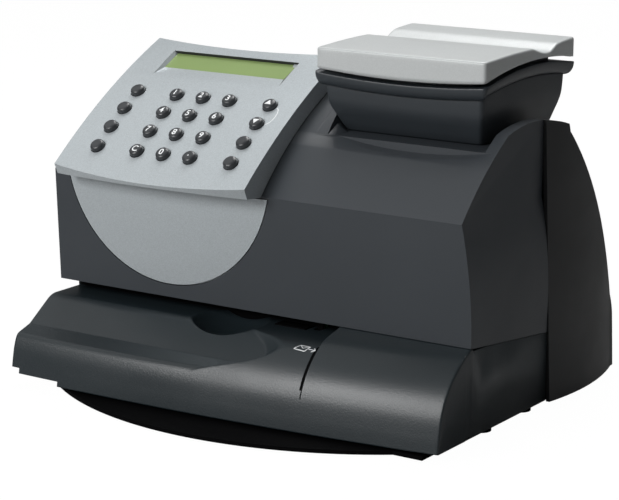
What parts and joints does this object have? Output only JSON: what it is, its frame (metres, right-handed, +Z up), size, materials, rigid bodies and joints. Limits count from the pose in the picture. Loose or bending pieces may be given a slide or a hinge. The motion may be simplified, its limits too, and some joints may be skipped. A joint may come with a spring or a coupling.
{
  "type": "postage meter",
  "caption": "Desktop postage meter with a sloped keypad and display panel, a letter slot above a flat deck, and a letter scale on top.",
  "frame": {"origin": "on the table, under the middle of the machine's outline", "axes": "+X to the user's right, +Y to the back, +Z up"},
  "size_m": [0.3262, 0.284, 0.2275],
  "materials": {
    "chassis": "fine grain",
    "rubber": "matte",
    "screw_steel": "satin",
    "front_plastic": "satin",
    "body_plastic": "fine grain",
    "rear_plastic": "fine grain",
    "panel_silver": "silver paint",
    "bib_silver": "silver paint",
    "display_clear": "clear",
    "display_green": "smooth",
    "gasket_black": "matte",
    "key_plastic": "satin",
    "mat_rubber": "matte",
    "board_green": "smooth",
    "platter_light": "fine grain",
    "rim_dark": "satin",
    "tray_dark": "fine grain",
    "cell_aluminium": "milled",
    "frame_steel": "zinc plated",
    "rod_steel": "ground",
    "gear_white": "moulded",
    "pinion_brass": "machined",
    "belt_rubber": "matte",
    "motor_steel": "satin",
    "carriage_plastic": "smooth",
    "cartridge_plastic": "smooth",
    "felt": "felt",
    "socket_plastic": "smooth"
  },
  "bodies": {
    "housing": {"base_chassis": "chassis", "foot_pads": "rubber", "cover_screws": "screw_steel", "front_cover": "front_plastic", "main_cover": "body_plastic", "rear_cover": "rear_plastic", "control_panel": "panel_silver", "bib_panel": "bib_silver", "display_window": "display_clear", "display_gasket": "gasket_black", "display_module": "display_green", "keypad_mat": "mat_rubber", "keypad_board": "board_green", "scale_tray": "tray_dark", "scale_rim": "rim_dark", "load_cell": "cell_aluminium", "scale_board": "board_green", "carriage_frame": "frame_steel", "carriage_rod": "rod_steel", "carriage_belt": "belt_rubber", "carriage_motor": "motor_steel", "cap_station": "carriage_plastic", "waste_ink_pad": "felt", "main_board": "board_green", "power_socket": "socket_plastic", "data_socket": "socket_plastic"},
    "carriage": {"print_carriage": "carriage_plastic", "ink_cartridge": "cartridge_plastic"},
    "drive_wheel": {"drive_gear": "gear_white"},
    "pinion": {"motor_pinion": "pinion_brass"},
    "idler": {"idler_pulley": "gear_white"},
    "lever": {"sensor_lever": "gear_white"},
    "weighing_platter": {"scale_platter": "platter_light", "platter_carrier": "carriage_plastic"},
    "menu_key_1_cap": {"menu_key_1": "key_plastic"},
    "key_1_cap": {"key_1": "key_plastic"},
    "key_2_cap": {"key_2": "key_plastic"},
    "key_3_cap": {"key_3": "key_plastic"},
    "key_up_cap": {"key_up": "key_plastic"},
    "menu_key_2_cap": {"menu_key_2": "key_plastic"},
    "key_4_cap": {"key_4": "key_plastic"},
    "key_5_cap": {"key_5": "key_plastic"},
    "key_6_cap": {"key_6": "key_plastic"},
    "key_down_cap": {"key_down": "key_plastic"},
    "menu_key_3_cap": {"menu_key_3": "key_plastic"},
    "key_7_cap": {"key_7": "key_plastic"},
    "key_8_cap": {"key_8": "key_plastic"},
    "key_9_cap": {"key_9": "key_plastic"},
    "key_back_cap": {"key_back": "key_plastic"},
    "menu_key_4_cap": {"menu_key_4": "key_plastic"},
    "key_clear_cap": {"key_clear": "key_plastic"},
    "key_0_cap": {"key_0": "key_plastic"},
    "key_point_cap": {"key_point": "key_plastic"},
    "key_enter_cap": {"key_enter": "key_plastic"}
  },
  "joints": [
    {"name": "carriage_slide", "type": "slide", "parent": "housing", "child": "carriage", "axis": [1, 0, 0], "range_m": [-0.145, 0]},
    {"name": "drive_gear_turn", "type": "hinge", "parent": "housing", "child": "drive_wheel", "pos_m": [0.122, -0.011, 0.118], "axis": [0, 1, 0], "range_deg": [0, 936]},
    {"name": "idler_turn", "type": "hinge", "parent": "housing", "child": "idler", "pos_m": [-0.056, -0.018, 0.118], "axis": [0, 1, 0], "range_deg": [0, 936]},
    {"name": "pinion_turn", "type": "hinge", "parent": "housing", "child": "pinion", "pos_m": [0.0936, -0.011, 0.118], "axis": [0, 1, 0], "range_deg": [-2338, 0]},
    {"name": "sensor_lever_tilt", "type": "hinge", "parent": "housing", "child": "lever", "pos_m": [0.041, -0.046, 0.04], "axis": [1, 0, 0], "range_deg": [-18, 0], "stiffness_Nm_per_rad": 0.01},
    {"name": "platter_press", "type": "slide", "parent": "housing", "child": "weighing_platter", "axis": [0, 0, 1], "range_m": [-0.0005, 0], "stiffness_N_per_m": 40000},
    {"name": "menu_key_1_press", "type": "slide", "parent": "housing", "child": "menu_key_1_cap", "axis": [0, -0.5282, 0.8491], "range_m": [-0.0012, 0], "stiffness_N_per_m": 300},
    {"name": "key_1_press", "type": "slide", "parent": "housing", "child": "key_1_cap", "axis": [0, -0.5282, 0.8491], "range_m": [-0.0012, 0], "stiffness_N_per_m": 300},
    {"name": "key_2_press", "type": "slide", "parent": "housing", "child": "key_2_cap", "axis": [0, -0.5282, 0.8491], "range_m": [-0.0012, 0], "stiffness_N_per_m": 300},
    {"name": "key_3_press", "type": "slide", "parent": "housing", "child": "key_3_cap", "axis": [0, -0.5282, 0.8491], "range_m": [-0.0012, 0], "stiffness_N_per_m": 300},
    {"name": "key_up_press", "type": "slide", "parent": "housing", "child": "key_up_cap", "axis": [0, -0.5282, 0.8491], "range_m": [-0.0012, 0], "stiffness_N_per_m": 300},
    {"name": "menu_key_2_press", "type": "slide", "parent": "housing", "child": "menu_key_2_cap", "axis": [0, -0.5606, 0.8281], "range_m": [-0.0012, 0], "stiffness_N_per_m": 300},
    {"name": "key_4_press", "type": "slide", "parent": "housing", "child": "key_4_cap", "axis": [0, -0.5606, 0.8281], "range_m": [-0.0012, 0], "stiffness_N_per_m": 300},
    {"name": "key_5_press", "type": "slide", "parent": "housing", "child": "key_5_cap", "axis": [0, -0.5606, 0.8281], "range_m": [-0.0012, 0], "stiffness_N_per_m": 300},
    {"name": "key_6_press", "type": "slide", "parent": "housing", "child": "key_6_cap", "axis": [0, -0.5606, 0.8281], "range_m": [-0.0012, 0], "stiffness_N_per_m": 300},
    {"name": "key_down_press", "type": "slide", "parent": "housing", "child": "key_down_cap", "axis": [0, -0.5606, 0.8281], "range_m": [-0.0012, 0], "stiffness_N_per_m": 300},
    {"name": "menu_key_3_press", "type": "slide", "parent": "housing", "child": "menu_key_3_cap", "axis": [0, -0.5922, 0.8058], "range_m": [-0.0012, 0], "stiffness_N_per_m": 300},
    {"name": "key_7_press", "type": "slide", "parent": "housing", "child": "key_7_cap", "axis": [0, -0.5922, 0.8058], "range_m": [-0.0012, 0], "stiffness_N_per_m": 300},
    {"name": "key_8_press", "type": "slide", "parent": "housing", "child": "key_8_cap", "axis": [0, -0.5922, 0.8058], "range_m": [-0.0012, 0], "stiffness_N_per_m": 300},
    {"name": "key_9_press", "type": "slide", "parent": "housing", "child": "key_9_cap", "axis": [0, -0.5922, 0.8058], "range_m": [-0.0012, 0], "stiffness_N_per_m": 300},
    {"name": "key_back_press", "type": "slide", "parent": "housing", "child": "key_back_cap", "axis": [0, -0.5922, 0.8058], "range_m": [-0.0012, 0], "stiffness_N_per_m": 300},
    {"name": "menu_key_4_press", "type": "slide", "parent": "housing", "child": "menu_key_4_cap", "axis": [0, -0.6229, 0.7823], "range_m": [-0.0012, 0], "stiffness_N_per_m": 300},
    {"name": "key_clear_press", "type": "slide", "parent": "housing", "child": "key_clear_cap", "axis": [0, -0.6229, 0.7823], "range_m": [-0.0012, 0], "stiffness_N_per_m": 300},
    {"name": "key_0_press", "type": "slide", "parent": "housing", "child": "key_0_cap", "axis": [0, -0.6229, 0.7823], "range_m": [-0.0012, 0], "stiffness_N_per_m": 300},
    {"name": "key_point_press", "type": "slide", "parent": "housing", "child": "key_point_cap", "axis": [0, -0.6229, 0.7823], "range_m": [-0.0012, 0], "stiffness_N_per_m": 300},
    {"name": "key_enter_press", "type": "slide", "parent": "housing", "child": "key_enter_cap", "axis": [0, -0.6229, 0.7823], "range_m": [-0.0012, 0], "stiffness_N_per_m": 300}
  ],
  "couplings": [
    {"joint": "drive_gear_turn", "follows": "carriage_slide", "rad_per_m": -112.36},
    {"joint": "idler_turn", "follows": "carriage_slide", "rad_per_m": -112.36},
    {"joint": "pinion_turn", "follows": "carriage_slide", "rad_per_m": 280.9}
  ]
}
